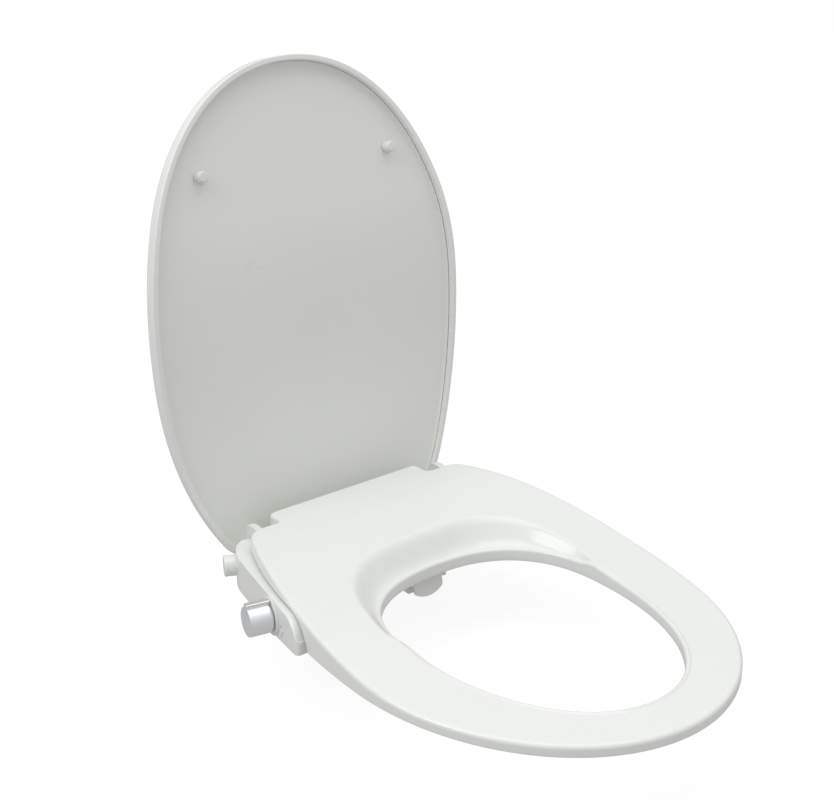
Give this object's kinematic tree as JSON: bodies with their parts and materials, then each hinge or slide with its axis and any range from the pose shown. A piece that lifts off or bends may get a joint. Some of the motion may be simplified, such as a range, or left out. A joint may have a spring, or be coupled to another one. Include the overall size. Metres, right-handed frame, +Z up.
{
  "type": "bidet toilet seat",
  "caption": "Bidet toilet seat: oval ring and dished lid hinged on a rear water unit with a side arm, turning knob, capped inlet and a sliding wash nozzle behind a flap.",
  "frame": {"origin": "on the flat underside of the rear water unit, straight below the hinge line, in the middle of the width", "axes": "+Z up from the toilet rim, -Y towards the front of the seat, +X away from the control arm"},
  "size_m": [0.3872, 0.5799, 0.5054],
  "materials": {
    "seat_gloss": "moulded, high gloss",
    "seat_satin": "moulded, semi-gloss underside",
    "lid_gloss": "moulded, high gloss",
    "lid_inner": "moulded, semi-gloss inner panel",
    "housing_gloss": "moulded, high gloss",
    "housing_satin": "moulded, satin",
    "grey_plastic": "moulded, fine texture",
    "satin_silver": "satin silver plating on a moulding",
    "polished_silver": "polished silver plating on a moulding",
    "steel": "plain steel",
    "ceramic": "ground white ceramic",
    "nozzle_plastic": "moulded, gloss",
    "gate_plastic": "moulded, gloss",
    "clear_hose": "smooth translucent",
    "bumper_rubber": "soft white, smooth",
    "black_rubber": "matt"
  },
  "bodies": {
    "base": {"base_pan": "housing_satin", "housing_cover": "housing_gloss", "control_arm_cover": "housing_gloss", "blank_arm_cover": "housing_gloss", "mounting_plate": "grey_plastic", "cover_screw_1": "steel", "cover_screw_2": "steel", "cover_screw_3": "steel", "cover_screw_4": "steel", "hinge_damper_left": "grey_plastic", "hinge_damper_right": "grey_plastic", "hinge_pin_left": "steel", "hinge_pin_right": "steel", "water_inlet": "housing_satin", "inlet_cap": "housing_gloss", "inlet_seal": "black_rubber", "inlet_hose": "clear_hose", "nozzle_hose": "clear_hose", "valve_body": "grey_plastic", "knob_collar": "housing_satin", "nozzle_holder": "housing_satin", "gate_pin": "steel", "nozzle_spring": "steel"},
    "seat": {"seat_top": "seat_gloss", "seat_bottom": "seat_satin", "seat_bumper_1": "bumper_rubber", "seat_bumper_2": "bumper_rubber", "seat_bumper_3": "bumper_rubber", "seat_bumper_4": "bumper_rubber"},
    "lid": {"lid_outer": "lid_gloss", "lid_panel": "lid_inner", "lid_bumper_left": "bumper_rubber", "lid_bumper_right": "bumper_rubber"},
    "knob": {"knob_body": "satin_silver", "knob_fin": "polished_silver", "knob_spindle": "steel", "valve_disc": "ceramic"},
    "nozzle": {"nozzle_wand": "nozzle_plastic", "nozzle_tip": "nozzle_plastic"},
    "gate": {"nozzle_gate": "gate_plastic"},
    "button": {"release_button": "grey_plastic"}
  },
  "joints": [
    {"name": "lid_hinge", "type": "hinge", "parent": "base", "child": "lid", "pos_m": [0, 0, 0.031], "axis": [1, 0, 0], "range_deg": [0, 102]},
    {"name": "seat_hinge", "type": "hinge", "parent": "base", "child": "seat", "pos_m": [0, 0, 0.031], "axis": [1, 0, 0], "range_deg": [-90, 0]},
    {"name": "knob_turn", "type": "hinge", "parent": "base", "child": "knob", "pos_m": [-0.17247, -0.108, 0.0212], "axis": [-0.9782, 0.2075, 0], "range_deg": [-90, 90]},
    {"name": "nozzle_slide", "type": "slide", "parent": "base", "child": "nozzle", "axis": [0, -0.9659, -0.2588], "range_m": [0, 0.085], "stiffness_N_per_m": 15, "springref_m": -0.02, "deforming": ["nozzle_spring"]},
    {"name": "nozzle_gate_hinge", "type": "hinge", "parent": "base", "child": "gate", "pos_m": [0, -0.125, 0.009], "axis": [1, 0, 0], "range_deg": [-85, 0]},
    {"name": "button_press", "type": "slide", "parent": "base", "child": "button", "axis": [-1, 0, 0], "range_m": [0, 0.004], "stiffness_N_per_m": 300, "springref_m": -0.002}
  ],
  "couplings": [
    {"joint": "nozzle_gate_hinge", "follows": "nozzle_slide", "rad_per_m": -17.25}
  ]
}
